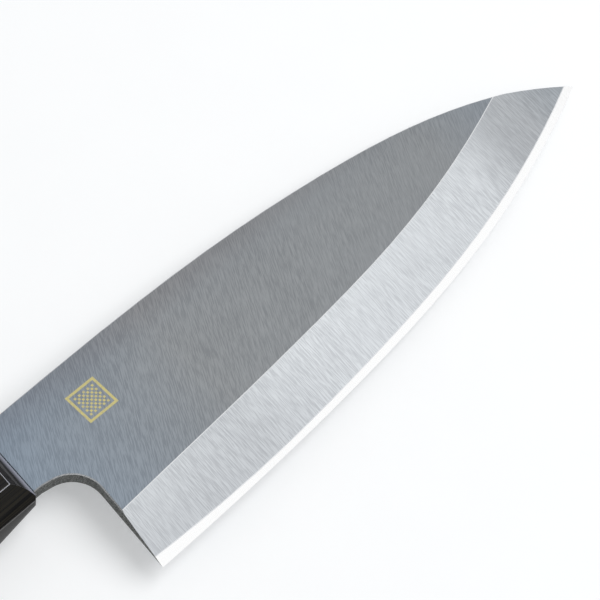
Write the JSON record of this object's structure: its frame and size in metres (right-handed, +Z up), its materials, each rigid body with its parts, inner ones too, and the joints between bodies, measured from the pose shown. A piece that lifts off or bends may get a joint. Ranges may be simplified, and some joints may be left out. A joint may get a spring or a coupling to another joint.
{
  "type": "deba knife",
  "caption": "Right-handed Japanese-style deba knife: thick single-bevel blade with a hollow-ground back and choil notch, stick tang set in an eight-sided black wood handle.",
  "frame": {"origin": "on the table, under the middle of the bounding box", "axes": "+X to the tip, +Y to the spine, +Z up, with the bevelled face up and the hollow back down"},
  "size_m": [0.3019, 0.0538, 0.0242],
  "materials": {
    "steel": "fine hairline grind",
    "dark_wood": "polished black laminated wood",
    "resin": "black cast resin"
  },
  "bodies": {
    "root": {"blade": "steel", "handle": "dark_wood", "tang_bed": "resin"}
  },
  "joints": []
}
